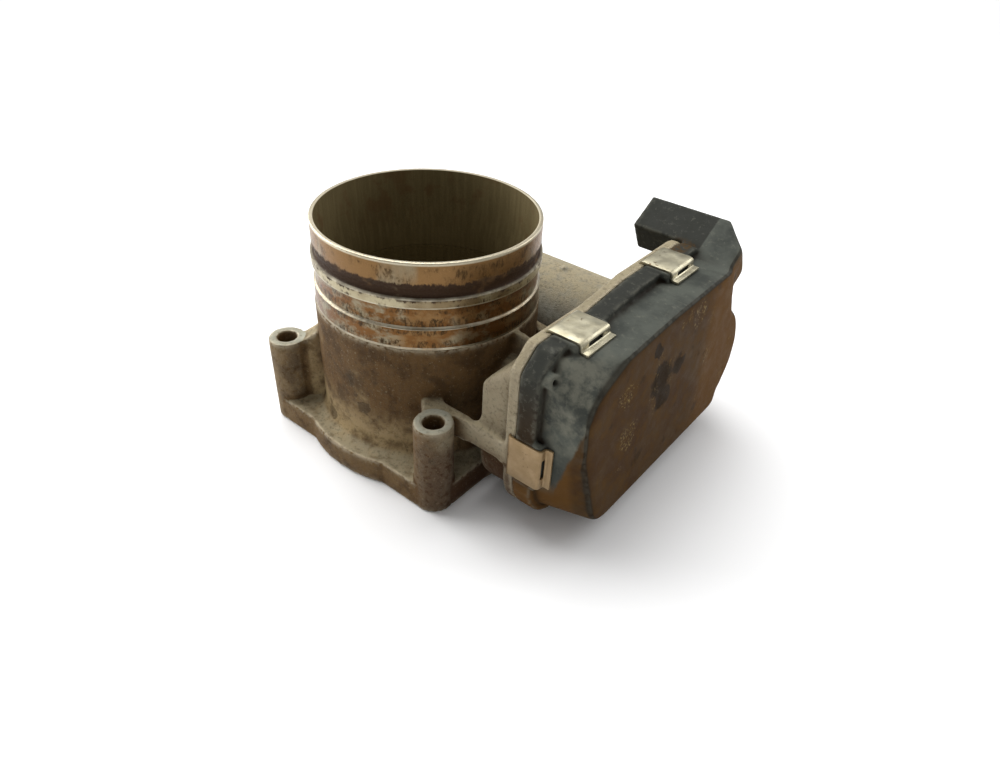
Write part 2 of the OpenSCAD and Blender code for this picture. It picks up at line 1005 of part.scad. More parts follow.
module cover_clips() {
    hook_len = clip_hook + clip_gap;
    leg_len = clip_leg + clip_gap;
    color(steel)
    for (c = clips)
        clip_frame(c)
            difference() {
                union() {
                    translate([clip_start_x, -clip_w / 2, clip_gap])
                        cube([clip_leg_x + clip_t - clip_start_x, clip_w, clip_t]);
                    translate([clip_start_x, -clip_w / 2, -clip_hook])
                        cube([clip_t, clip_w, hook_len + clip_t / 2]);
                    translate([clip_leg_x, -clip_w / 2, -clip_leg])
                        cube([clip_t, clip_w, leg_len + clip_t / 2]);
                    translate([clip_leg_x, -clip_w / 2, -clip_leg])
                        cube([clip_end_x - clip_leg_x, clip_w, clip_t]);
                }
                // Window in the leg
                translate([clip_leg_x - 1, -clip_w / 4, -clip_leg + 1.1])
                    cube([3, clip_w / 2, 1]);
            }
}

// Places its children on the connector: Y along the socket towards its mouth, Z up out of it
module socket_frame() {
    translate([0, socket_at[0], socket_at[1]])
        rotate([socket_tilt, 0, 0])
            children();
}

// A point of the socket's own plane, as [y, z] of the part
function from_socket(y, z) = socket_at + [
    y * cos(socket_tilt) - z * sin(socket_tilt),
    y * sin(socket_tilt) + z * cos(socket_tilt),
];

module dome_outside() {
    depth = face_low_x - rim_x + 2;
    hull() {
        along_x(rim_x - 1, 1) polygon(rounded(inset(case_corners, pan_inset)));
        along_x(rim_x + depth - 1, 1) polygon(rounded(face_corners));
    }
    translate([rim_x - 1, bulge_at[0], bulge_at[1]])
        rotate([0, 90, 0])
            cylinder(h = depth + 1, r1 = bulge_r + 1, r2 = bulge_r);
}

// Everything beyond the leaning outer face
module face_cut(t) {
    translate([face_low_x - t, -100, 0])
        rotate([0, -face_lean, 0])
            translate([0, 0, -50])
                cube([50, 300, 200]);
}

module connector_outside() {
    socket_frame() {
        translate([socket_x, 0, -socket_h]) cube([socket_w, socket_len, socket_h]);
        // Body between the socket and the rim, with one corner cut back
        translate([0, 0, -socket_h])
            linear_extrude(socket_h)
                polygon([
                    [socket_x + 10, 0],
                    [seam_x, 0],
                    [seam_x, -12],
                    [80, -12],
                    [80.3, 4.5],
                    [71, socket_len],
                    [socket_x + 10, socket_len],
                ]);
    }
}

module gear_cover() {
    color(black_plastic)
    difference() {
        union() {
            along_x(seam_x, rim_depth) case_outline();
            rod(lug_at, rim_x - 1, 3.4, lug_r);
            difference() {
                union() {
                    dome_outside();
                    connector_outside();
                }
                face_cut(0);
                // The aluminium lip keeps its room
                along_x(lip_x - 0.3, seam_x - lip_x + 0.3) case_outline(-0.3);
            }
            for (c = clips)
                clip_frame(c)
                    translate([rim_x - 1, -clip_w / 2 - 0.6, -4])
                        cube([clip_leg_x - clip_gap - rim_x + 1, clip_w + 1.2, 4]);
        }
        // Room for the gears
        along_x(seam_x - 1, rim_depth + 0.8) case_outline(pocket_inset);
        difference() {
            along_x(rim_x - 1, 40) face_outline(wall);
            face_cut(wall);
            rod(gear_at, large_x + large_w + 1.4, 20, 5.5);
            for (at = board_posts)
                rod(at, board_x + board_t, 20, 2.8);
        }
        rod(gear_at, 70, 7, gear_pin_r + run);
        rod(lug_at, rim_x, 5, lug_hole_r);
        // Room for the clips' legs and lips
        for (c = clips)
            clip_frame(c)
                translate([clip_leg_x - clip_gap, -clip_w / 2 - 0.3, -clip_leg - clip_gap])
                    cube([clip_end_x - clip_leg_x + 0.5, clip_w + 0.6, clip_leg + 1]);
        for (at = board_posts)
            rod(at, board_x - 2, 6.4, 1.2);
        // Socket
        socket_frame()
            translate([socket_x + socket_wall, 4, -socket_h + socket_wall])
                cube([socket_w - 2 * socket_wall, socket_len, socket_h - 2 * socket_wall]);
        leads(pin_half + 0.04);
    }
}

// A square bar between two points of the plane across the pins, at height z
module bar(from, to, z, half) {
    low = [min(from[0], to[0]), min(from[1], to[1])];
    size = [abs(to[0] - from[0]), abs(to[1] - from[1])];
    translate([low[0] - half, low[1] - half, z - half])
        cube([size[0] + 2 * half, size[1] + 2 * half, 2 * half]);
}

// Where pin k of a row leaves the socket, turns towards the cover and reaches the board
function pin_x(k) = socket_x + socket_w / 2 + (k - 1) * pin_pitch;
function lead_out_y(k) = 0.6 + lead_pitch * k;
function lead_turn_x(k) = 67 + 2.4 * k;
function lead_in_y(k) = lead_pitch * k - 12.4;

module leads(half) {
    board_back_x = board_x + board_t + 0.8;
    socket_frame()
        for (z = pin_rows, k = [0 : pins_in_row - 1]) {
            bar([pin_x(k), pin_end], [pin_x(k), lead_out_y(k)], z, half);
            bar([pin_x(k), lead_out_y(k)], [lead_turn_x(k), lead_out_y(k)], z, half);
            bar([lead_turn_x(k), lead_out_y(k)], [lead_turn_x(k), lead_in_y(k)], z, half);
            bar([lead_turn_x(k), lead_in_y(k)], [board_back_x, lead_in_y(k)], z, half);
        }
}

module cover_seal() {
    color(rubber)
    difference() {
        along_x(seam_x - 1.5, 1.5) case_outline(1.5 + slip);
        along_x(seam_x - 2, 3) case_outline(3.5 - slip);
    }
}

module sensor_board() {
    color(board_green)
    along_x(board_x, board_t)
        difference() {
            polygon(rounded(board_corners));
            for (at = board_posts)
                translate(at) circle(r = 1.5);
            for (z = pin_rows, k = [0 : pins_in_row - 1])
                translate(from_socket(lead_in_y(k), z)) circle(r = 0.7, $fn = 24);
        }
}

module board_chips() {
    color(dark_steel) {
        translate([board_x - 1.4, -3.5, shaft_z - 3.5]) cube([1.4, 7, 7]);
        translate([board_x - 1.4, -12, 36]) cube([1.4, 5, 4]);
        translate([board_x - 1.2, 2, 44]) cube([1.2, 6, 4]);
        for (i = [0 : 3])
            translate([board_x - 0.7, -11 + i * 3, 24]) cube([0.7, 1.2, 2]);
    }
}

module board_screws() {
    color(steel)
    for (at = board_posts)
        union() {
            rod(at, board_x - 1, 5, 1.2 - slip);
            rod(at, board_x - 1.4, 1.4, 2.3);
        }
}

module connector_pins() {
    color(brass)
    leads(pin_half);
}

// Blades of the cover that rest on the motor's terminals
module motor_contacts() {
    blade_w = 2;
    color(brass)
    for (side = [-1, 1])
        translate([55.5, motor_y + side * 8.5 - blade_w / 2, motor_z - 8.58])
            cube([25, blade_w, 0.6]);
}

module connector_seal() {
    outer_w = socket_w - 2 * socket_wall;
    outer_h = socket_h - 2 * socket_wall;
    color(rubber)
    socket_frame()
        difference() {
            translate([socket_x + socket_wall + slip, 4, -socket_h + socket_wall + slip])
                cube([outer_w - 2 * slip, 1.2, outer_h - 2 * slip]);
            translate([socket_x + socket_wall + 1.6, 3, -socket_h + socket_wall + 1.6])
                cube([outer_w - 3.2, 4, outer_h - 3.2]);
        }
}

throttle_housing();
throttle_plate();
throttle_shaft();
plate_screws();
left_bearing_outer_race();
left_bearing_balls();
left_bearing_inner_race();
bearing_end_cap();
needle_bearing_cup();
needle_rollers();
left_shaft_seal();
right_shaft_seal();
sector_gear();
sector_insert();
sensor_magnet();
magnet_yoke();
shaft_nut();
spring_sleeve();
return_spring();
stop_pins();
intermediate_gear();
intermediate_pin();
thrust_washer();
motor_can();
motor_magnets();
armature_core();
armature_windings();
commutator();
motor_shaft();
motor_pinion();
rear_bushing();
front_bushing();
brush_carrier();
brushes();
brush_springs();
motor_terminals();
motor_plate();
motor_screws();
wave_spring();
gear_cover();
cover_seal();
sensor_board();
board_chips();
board_screws();
motor_contacts();
connector_pins();
connector_seal();
cover_clips();
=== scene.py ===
"""The looks of a used electronic throttle body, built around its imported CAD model."""

import math

import bmesh
import bpy
import numpy as np
from mathutils import Matrix, Vector


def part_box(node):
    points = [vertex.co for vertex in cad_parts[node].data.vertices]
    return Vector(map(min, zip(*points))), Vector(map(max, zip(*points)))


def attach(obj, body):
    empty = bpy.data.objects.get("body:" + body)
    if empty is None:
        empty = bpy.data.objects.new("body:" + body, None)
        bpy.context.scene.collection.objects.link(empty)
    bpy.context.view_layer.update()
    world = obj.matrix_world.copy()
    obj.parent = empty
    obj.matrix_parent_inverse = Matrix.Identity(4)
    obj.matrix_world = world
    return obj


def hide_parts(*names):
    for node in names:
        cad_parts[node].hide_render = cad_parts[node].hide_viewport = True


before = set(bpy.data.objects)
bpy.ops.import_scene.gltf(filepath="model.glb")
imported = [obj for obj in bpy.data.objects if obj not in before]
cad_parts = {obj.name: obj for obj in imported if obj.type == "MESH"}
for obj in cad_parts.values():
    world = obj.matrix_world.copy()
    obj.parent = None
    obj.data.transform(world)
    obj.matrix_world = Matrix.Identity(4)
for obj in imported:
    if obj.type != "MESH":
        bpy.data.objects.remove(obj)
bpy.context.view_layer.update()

MM = 0.001

# Sizes in millimetres that the looks share with the CAD model
TUBE_R = 37.8
BORE_R = 34.0
INLET_R = 35.6
SPIGOT_Z = 50.7
RIDGE_Z = (64.5, 67.7)
BOSS_TOP_Z = 32.5
RIM_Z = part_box("throttle_housing")[1].z / MM
FLANGE_T = 9.0
BOLT_AT = 34.8
SHAFT_Z = 33.0
SEAM_X = 60.2
RIM_X = 66.7
CLIP_W = 14.5
CLIP_T = 0.8
MOTOR_AT = (57.5, 22.4)
BRUSH_X = 42.1

TUBE_FILLET = 4.0
CASTING_VOXEL = 0.5
COVER_VOXEL = 0.45
GUIDE_T = 0.9

# The middle of each spring clip: y, z and the angle of the outward direction
CLIPS = [(-27.7, 29.2, 180), (-6.5, 65.2, 90), (44.2, 67.5, 90), (8, 1.5, -90), (38, 1.5, -90)]


# ---------- meshes ----------

def add_object(name, mesh):
    """A new piece in the scene that stays with the housing."""
    obj = bpy.data.objects.new(name, mesh)
    bpy.context.scene.collection.objects.link(obj)
    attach(obj, "housing")
    return obj


def mesh_from(bm, name):
    """Turns a bmesh in millimetres into a mesh in metres."""
    bmesh.ops.scale(bm, vec=(MM, MM, MM), verts=bm.verts)
    mesh = bpy.data.meshes.new(name)
    bm.to_mesh(mesh)
    bm.free()
    return mesh


def cad_bmesh(node):
    """The CAD node's mesh, welded, in millimetres."""
    bm = bmesh.new()
    bm.from_mesh(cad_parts[node].data)
    bmesh.ops.scale(bm, vec=(1 / MM,) * 3, verts=bm.verts)
    bmesh.ops.remove_doubles(bm, verts=bm.verts, dist=0.0005)
    return bm


def revolve(bm, profile, steps=192):
    """Turns a closed [radius, z] profile around the bore's axis."""
    rings = []
    for i in range(steps):
        a = 2 * math.pi * i / steps
        rings.append([bm.verts.new((r * math.cos(a), r * math.sin(a), z)) for r, z in profile])
    count = len(profile)
    for i in range(steps):
        here, there = rings[i], rings[(i + 1) % steps]
        for k in range(count):
            n = (k + 1) % count
            bm.faces.new((here[k], there[k], there[n], here[n]))


def add_box(bm, low, high, turn):
    """A box between two corners, moved by turn."""
    made = bmesh.ops.create_cube(bm, size=1)["verts"]
    for v in made:
        v.co = turn @ Vector([low[i] + (v.co[i] + 0.5) * (high[i] - low[i]) for i in range(3)])


def clip_turn(clip):
    """From a clip's own axes, X along the shaft and Z outwards, to the part's."""
    y, z, angle = clip
    return Matrix.Translation((0, y, z)) @ Matrix.Rotation(math.radians(angle - 90), 4, "X")


def applied(obj, kind, **settings):
    """Adds a modifier and bakes it into the object's mesh."""
    modifier = obj.modifiers.new(kind.lower(), kind)
    for key, value in settings.items():
        setattr(modifier, key, value)
    evaluated = obj.evaluated_get(bpy.context.evaluated_depsgraph_get())
    mesh = bpy.data.meshes.new_from_object(evaluated)
    obj.modifiers.clear()
    old = obj.data
    obj.data = mesh
    bpy.data.meshes.remove(old)
    return obj


def points_of(mesh):
    """Vertex positions in millimetres."""
    co = np.empty(len(mesh.vertices) * 3)
    mesh.vertices.foreach_get("co", co)
    return co.reshape(-1, 3) / MM


def neighbour_mean(mesh):
    """A function that gives, for each vertex, the mean of its neighbours' values."""
    ends = np.empty(len(mesh.edges) * 2, np.int64)
    mesh.edges.foreach_get("vertices", ends)
    a, b = ends[0::2], ends[1::2]
    count = len(mesh.vertices)
    degree = np.maximum(np.bincount(a, minlength=count) + np.bincount(b, minlength=count), 1)

    def mean(values):
        out = np.empty_like(values)
        for axis in range(values.shape[1]):
            column = values[:, axis]
            total = np.bincount(a, weights=column[b], minlength=count)
            total += np.bincount(b, weights=column[a], minlength=count)
            out[:, axis] = total / degree
        return out

    return mean


def relax(mesh, steps, weight):
    """Rounds edges and corners off; weight is 0 to 1 for each vertex."""
    mean = neighbour_mean(mesh)
    co = points_of(mesh)
    share = 0.5 * weight[:, None]
    for _ in range(steps):
        co += share * (mean(co) - co)
    mesh.vertices.foreach_set("co", (co * MM).ravel())
    mesh.update()


def store_wear_and_shade_masks(mesh):
    """Stores how far each vertex stands out or lies back, as the attributes edge and hollow from 0 to 1;
    edge marks wear, hollow marks grime and painted shade.
    """
    fine_steps, wide_steps = 4, 30
    full_edge, full_hollow = 0.10, 0.55
    mean = neighbour_mean(mesh)
    co = points_of(mesh)
    normals = np.empty(len(mesh.vertices) * 3)
    mesh.vertex_normals.foreach_get("vector", normals)
    normals = normals.reshape(-1, 3)
    smooth = co.copy()
    for step in range(wide_steps):
        smooth = mean(smooth)
        if step + 1 == fine_steps:
            near = ((co - smooth) * normals).sum(1)
    far = ((co - smooth) * normals).sum(1)
    for name, values in (("edge", near / full_edge), ("hollow", -far / full_hollow)):
        layer = mesh.attributes.new(name, "FLOAT", "POINT")
        layer.data.foreach_set("value", np.clip(values, 0, 1).astype(np.float32))


def smooth_shaded(mesh):
    mesh.polygons.foreach_set("use_smooth", np.ones(len(mesh.polygons), bool))


# ---------- materials ----------

# How far apart in the noise two seeds lie, on each axis
SEED_STEP = (31.7, 17.3, 5.1)

BARE_ALUMINIUM = (0.420, 0.365, 0.260)
DUST = (0.350, 0.298, 0.190)
SAND = (0.290, 0.245, 0.163)


class Look:
    """A material's node tree, whose positions are in millimetres of the part's frame."""

    def __init__(self, name):
        self.material = bpy.data.materials.new(name)
        self.material.use_nodes = True
        self.tree = self.material.node_tree
        self.shader = self.tree.nodes["Principled BSDF"]
        coords = self.node("ShaderNodeTexCoord")
        self.place = self.vector("SCALE", coords.outputs["Object"], scale=1 / MM)
        parts = self.node("ShaderNodeSeparateXYZ")
        self.tree.links.new(self.place, parts.inputs[0])
        self.x, self.y, self.z = parts.outputs
        facing = self.node("ShaderNodeSeparateXYZ")
        self.tree.links.new(coords.outputs["Normal"], facing.inputs[0])
        self.nx, self.ny, self.nz = facing.outputs

    def node(self, kind, **settings):
        made = self.tree.nodes.new(kind)
        for key, value in settings.items():
            setattr(made, key, value)
        return made

    def put(self, socket, value):
        if isinstance(value, bpy.types.NodeSocket):
            self.tree.links.new(value, socket)
        elif isinstance(value, tuple) and socket.type == "RGBA":
            socket.default_value = (*value, 1)
        else:
            socket.default_value = value

    def vector(self, operation, a, b=None, scale=None):
        made = self.node("ShaderNodeVectorMath", operation=operation)
        self.put(made.inputs[0], a)
        if b is not None:
            self.put(made.inputs[1], b)
        if scale is not None:
            made.inputs["Scale"].default_value = scale
        return made.outputs[0]

    def math(self, operation, a, b=0.0):
        made = self.node("ShaderNodeMath", operation=operation)
        self.put(made.inputs[0], a)
        self.put(made.inputs[1], b)
        return made.outputs[0]

    def length(self, a):
        made = self.node("ShaderNodeVectorMath", operation="LENGTH")
        self.put(made.inputs[0], a)
        return made.outputs["Value"]

    def both(self, *masks):
        out = masks[0]
        for mask in masks[1:]:
            out = self.math("MULTIPLY", out, mask)
        return out

    def inverse(self, mask):
        return self.math("SUBTRACT", 1.0, mask)

    def ramp(self, value, low, high, to_low=0.0, to_high=1.0):
        """Goes smoothly from to_low to to_high as value goes from low to high."""
        made = self.node("ShaderNodeMapRange", interpolation_type="SMOOTHSTEP")
        names = ("Value", "From Min", "From Max", "To Min", "To Max")
        for name, given in zip(names, (value, low, high, to_low, to_high)):
            self.put(made.inputs[name], given)
        return made.outputs[0]

    def band(self, value, low, high, soft):
        """1 between low and high, fading to 0 over soft."""
        return self.both(self.ramp(value, low - soft, low), self.ramp(value, high, high + soft, 1.0, 0.0))

    def mix(self, share, a, b):
        """Goes from a to b as share goes from 0 to 1; sockets 6, 7 and 2 are the colour ones."""
        made = self.node("ShaderNodeMix", data_type="RGBA")
        self.put(made.inputs[0], share)
        self.put(made.inputs[6], a)
        self.put(made.inputs[7], b)
        return made.outputs[2]

    def lay(self, colour, over, mask, most=None):
        """Lays the colour over on another where mask is 1; most is its thickest share."""
        share = mask if most is None else self.math("MULTIPLY", mask, most)
        return self.mix(share, colour, over)

    def noise(self, size, seed, detail=4.0, rough=0.55, stretch=(1, 1, 1)):
        """Noise from 0 to 1 with features about size millimetres across."""
        made = self.node("ShaderNodeTexNoise")
        place = self.vector("MULTIPLY", self.place, tuple(1 / s for s in stretch))
        self.put(made.inputs["Vector"], self.vector("ADD", place, tuple(seed * s for s in SEED_STEP)))
        made.inputs["Scale"].default_value = 1 / size
        made.inputs["Detail"].default_value = detail
        made.inputs["Roughness"].default_value = rough
        return made.outputs["Fac"]

    def spots(self, size, seed, share):
        """Scattered spots about size millimetres across; share is how far the noise must rise."""
        return self.ramp(self.noise(size, seed, 3.0, 0.6), share, share + 0.05)

    def attribute(self, name):
        return self.node("ShaderNodeAttribute", attribute_name=name).outputs["Fac"]

    def ragged(self, field, reach):
        """A noise field turned into millimetres either way, to make an outline ragged."""
        return self.math("MULTIPLY", self.math("SUBTRACT", field, 0.5), reach)

    def radius(self):
        """Distance from the bore's axis."""
        return self.length(self.vector("MULTIPLY", self.place, (1, 1, 0)))

    def blob(self, centre, radius, ragged):
        """1 inside a ragged patch around a point of the part."""
        distance = self.math("ADD", self.length(self.vector("SUBTRACT", self.place, centre)), ragged)
        return self.ramp(distance, radius, radius * 0.75)

    def bore_film(self, dark, light):
        """A dark film inside the bore, with streaks that run down."""
        streaks = self.noise(1.6, 8, 4.0, 0.6, (1, 1, 14))
        return self.mix(self.ramp(streaks, 0.35, 0.7), dark, light)

    def bump(self, height, depth):
        """A bump of depth millimetres."""
        made = self.node("ShaderNodeBump")
        made.inputs["Distance"].default_value = depth * MM
        self.put(made.inputs["Height"], height)
        return made.outputs[0]

    def finish(self, colour, rough, metal=0.0, normal=None, **constants):
        self.put(self.shader.inputs["Base Color"], colour)
        self.put(self.shader.inputs["Roughness"], rough)
        self.put(self.shader.inputs["Metallic"], metal)
        if normal is not None:
            self.put(self.shader.inputs["Normal"], normal)
        for name, value in constants.items():
            self.shader.inputs[name.replace("_", " ")].default_value = value
        return self.material


def casting_look():
    """Sand-cast aluminium under brown oil, pale dust and grime, with painted shade in its hollows and low at
    the front, and painted light on the tube's left.
    """
    look = Look("cast_aluminium_dirty_and_shaded")
    edge, hollow = look.attribute("edge"), look.attribute("hollow")
    cloud = look.noise(20, 1)
    patch = look.noise(6, 2, 5.0, 0.6)
    grain = look.noise(0.8, 3, 3.0, 0.7)
    radius = look.radius()

    brown, umber = (0.112, 0.060, 0.020), (0.062, 0.031, 0.009)
    tan, lit_pale_tan = (0.340, 0.250, 0.128), (0.520, 0.400, 0.215)
    red_brown_stain_and_shade, barrel_grey = (0.052, 0.022, 0.008), (0.255, 0.250, 0.205)
    dark_grime_and_shade, dark_stain, blot = (0.046, 0.027, 0.011), (0.040, 0.024, 0.010), (0.036, 0.021, 0.008)
    pale_speck, dark_mottle = (0.300, 0.240, 0.150), (0.050, 0.036, 0.020)
    machined_dark, machined_light = (0.310, 0.315, 0.260), (0.400, 0.395, 0.320)

    colour = look.mix(look.ramp(patch, 0.42, 0.66), brown, umber)
    # The tube is paler near the flange and in clouds; its left side is paler still, partly painted light
    # from the left
    left = look.ramp(look.x, -20, -32)
    pale = look.math("MAXIMUM", look.ramp(look.z, 28, 13), left)
    pale = look.math("MAXIMUM", pale, look.ramp(cloud, 0.52, 0.72, 0.0, 0.6))
    pale = look.both(pale, look.ramp(patch, 0.70, 0.40, 0.25, 1.0), look.ramp(look.x, 36, 28))
    bosses = look.both(look.ramp(radius, 41, 43.5), look.ramp(look.x, 45, 42))
    pale = look.both(pale, look.ramp(bosses, 0, 1, 1.0, 0.15))
    colour = look.lay(colour, look.mix(left, tan, lit_pale_tan), pale)
    # The gear pan and the lip are sandy above; low down at the front they are dark red-brown, partly a stain
    # and partly painted shade
    sandy = look.both(look.ramp(look.x, 37, 44), look.ramp(look.z, 18, 30))
    colour = look.lay(colour, SAND, look.both(sandy, look.ramp(patch, 0.3, 0.6, 0.8, 1.0)))
    # stained marks the dark red-brown low at the front: part stain, part painted shade
    stained = look.both(look.ramp(look.x, 30, 42), look.ramp(look.z, 28, 22), look.ramp(look.y, 10, -5))
    colour = look.lay(colour, red_brown_stain_and_shade, look.both(stained, look.ramp(cloud, 0.2, 0.6, 0.8, 1.0)))
    barrel = look.both(look.ramp(look.y, 34, 40), look.ramp(look.x, 52, 46))
    colour = look.lay(colour, barrel_grey, look.both(barrel, look.ramp(patch, 0.3, 0.7, 1.0, 0.6)))
    # Dust on what faces up, grime in corners that also carries painted shade, then stains and specks
    up = look.both(look.ramp(look.nz, 0.55, 0.95), look.ramp(look.noise(3, 4), 0.25, 0.6, 0.35, 0.9))
    colour = look.lay(colour, DUST, up)
    # Darker in hollows: grime and painted shade
    grime_and_shade_in_hollows = look.both(hollow, look.ramp(patch, 0.25, 0.6, 0.2, 0.7), look.ramp(look.z, 12, 16, 0.15, 1.0))
    colour = look.lay(colour, dark_grime_and_shade, grime_and_shade_in_hollows)
    stains = look.both(look.spots(5.5, 5, 0.66), look.inverse(up), look.ramp(grain, 0.3, 0.55, 0.0, 0.6))
    colour = look.lay(colour, dark_stain, stains)
    ragged = look.ragged(patch, 14.0)
    for centre, size in (((1.5, -37.8, 33.5), 3.6), ((6.2, -37.3, 23.8), 2.6), ((-12, -36, 12), 3.0)):
        colour = look.lay(colour, blot, look.blob(centre, size, ragged), 0.65)
    colour = look.lay(colour, pale_speck, look.spots(0.9, 6, 0.62), 0.35)
    # Machined tops of the bolt bosses
    mirrored = look.vector("ABSOLUTE", look.place)
    to_boss = look.length(look.vector("SUBTRACT", mirrored, (BOLT_AT, BOLT_AT, BOSS_TOP_Z)))
    boss_top = look.both(look.ramp(to_boss, 6.6, 6.1), look.ramp(look.nz, 0.6, 0.9))
    machined = look.mix(look.ramp(patch, 0.35, 0.65), machined_dark, machined_light)
    colour = look.lay(colour, machined, boss_top, 0.85)
    # A fine mottle all over, and edges rubbed to bare metal
    mottle = look.ramp(look.noise(1.3, 47, 5.0, 0.7), 0.50, 0.35)
    colour = look.lay(colour, dark_mottle, mottle, 0.40)
    worn = look.both(edge, look.ramp(look.noise(1.6, 7), 0.3, 0.55))
    colour = look.lay(colour, BARE_ALUMINIUM, worn, 0.55)
    inside = look.both(look.ramp(radius, 36.6, 36.2), look.ramp(look.z, -1, 1))
    colour = look.lay(colour, look.bore_film((0.115, 0.085, 0.033), (0.145, 0.110, 0.045)), inside)

    height = look.math("ADD", look.math("MULTIPLY", grain, 0.6), look.noise(0.35, 9, 2.0, 0.6))
    normal = look.bump(height, 0.34)
    rough = look.ramp(worn, 0, 1, 0.72, 0.45)
    rough = look.math("ADD", rough, look.ramp(grain, 0.2, 0.8, -0.10, 0.12))
    metal = look.ramp(worn, 0.0, 1.0, 0.10, 0.6)
    return look.finish(colour, rough, metal, normal, Specular_IOR_Level=0.15)


def spigot_look():
    """Turned aluminium, stained bronze and orange, with dark rust in the groove above the ridge."""
    look = Look("machined_spigot_stained")
    ragged = look.ragged(look.noise(3.0, 11, 7.0, 0.78, (1, 1, 2)), 6.0)
    level = look.math("ADD", look.z, ragged)
    around = look.noise(15, 12, 3.0, 0.5, (1, 1, 3))
    patch = look.noise(5, 13, 4.0, 0.6, (1, 1, 0.6))
    specks = look.ramp(look.noise(1.0, 14, 5.0, 0.75, (1, 1, 2.5)), 0.40, 0.62)
    radius = look.radius()

    silver, bright_rim = (0.500, 0.455, 0.345), (0.520, 0.470, 0.350)
    grey, bronze, orange = (0.235, 0.200, 0.130), (0.200, 0.112, 0.044), (0.150, 0.068, 0.020)
    ridge_dark, ridge_light = (0.190, 0.140, 0.075), (0.400, 0.350, 0.230)
    rust, grime, film_rust = (0.036, 0.016, 0.005), (0.040, 0.023, 0.009), (0.110, 0.058, 0.018)

    colour = look.mix(look.ramp(around, 0.46, 0.62), bronze, grey)
    lower = look.band(look.z, 50, 64.4, 0.4)
    tinted = look.mix(look.ramp(around, 0.44, 0.6), bronze, grey)
    colour = look.lay(colour, look.mix(look.ramp(patch, 0.40, 0.62), orange, tinted), lower)
    # The ridge is rubbed bright in places
    ridge = look.band(look.z, *RIDGE_Z, 0.25)
    colour = look.lay(colour, look.mix(look.ramp(around, 0.40, 0.58), ridge_dark, ridge_light), ridge)
    # Dark rust in the groove above the ridge, ragged at both sides
    groove = look.band(level, 67.6, 71.9, 0.9)
    thick = look.ramp(look.noise(6, 48), 0.30, 0.50, 0.55, 1.0)
    colour = look.lay(colour, rust, look.both(groove, thick))
    # Grime in bands around: from z, to z, softness, then the size, seed and threshold of its gaps
    for low, high, soft, size, seed, start, full in (
            (56.2, 60.6, 0.8, 6, 15, 0.32, 0.55), (50.0, 52.9, 0.9, 7, 16, 0.35, 0.58),
            (62.6, 65.6, 0.8, 5, 10, 0.42, 0.60)):
        band = look.both(look.band(level, low, high, soft), look.ramp(look.noise(size, seed), start, full))
        colour = look.lay(colour, grime, look.both(band, specks))
    upper = look.both(look.band(level, 70.5, 77, 1.5), look.ramp(look.noise(5, 17), 0.46, 0.62))
    colour = look.lay(colour, grime, look.both(upper, specks), 0.8)
    # Bright lines where the lathe left an edge, and a bright rim
    shine = look.ramp(patch, 0.3, 0.6, 0.9, 0.4)
    for z, half in ((57.75, 0.35), (SPIGOT_Z + 0.1, 0.35), (67.6, 0.25), (64.75, 0.2)):
        colour = look.lay(colour, silver, look.both(look.band(look.z, z - half, z + half, 0.15), shine))
    rim = look.both(look.ramp(look.z, RIM_Z - 1.1, RIM_Z - 0.6), look.ramp(radius, 35.4, 35.7))
    colour = look.lay(colour, bright_rim, look.both(rim, look.ramp(patch, 0.3, 0.7, 1.0, 0.8)))
    # Inside of the bore
    inside = look.ramp(radius, 36.1, 35.9)
    film = look.bore_film((0.125, 0.094, 0.037), (0.160, 0.122, 0.052))
    rusty = look.both(look.ramp(look.noise(9, 18), 0.52, 0.66), look.ramp(look.z, 55, 70))
    film = look.lay(film, film_rust, rusty, 0.6)
    colour = look.lay(colour, film, look.both(inside, look.ramp(look.nz, 0.6, 0.3)))

    lathe = look.noise(0.5, 19, 2.0, 0.5, (40, 40, 0.25))
    scratches = look.noise(0.6, 20, 3.0, 0.6)
    height = look.math("ADD", look.math("MULTIPLY", lathe, 0.5), look.math("MULTIPLY", scratches, 0.7))
    normal = look.bump(height, 0.06)
    dull = look.math("MAXIMUM", groove, inside)
    rough = look.math("ADD", look.ramp(scratches, 0.25, 0.75, 0.26, 0.46), look.ramp(dull, 0, 1, 0.0, 0.35))
    metal = look.ramp(dull, 0, 1, 0.85, 0.3)
    return look.finish(colour, rough, metal, normal, Specular_IOR_Level=0.3)


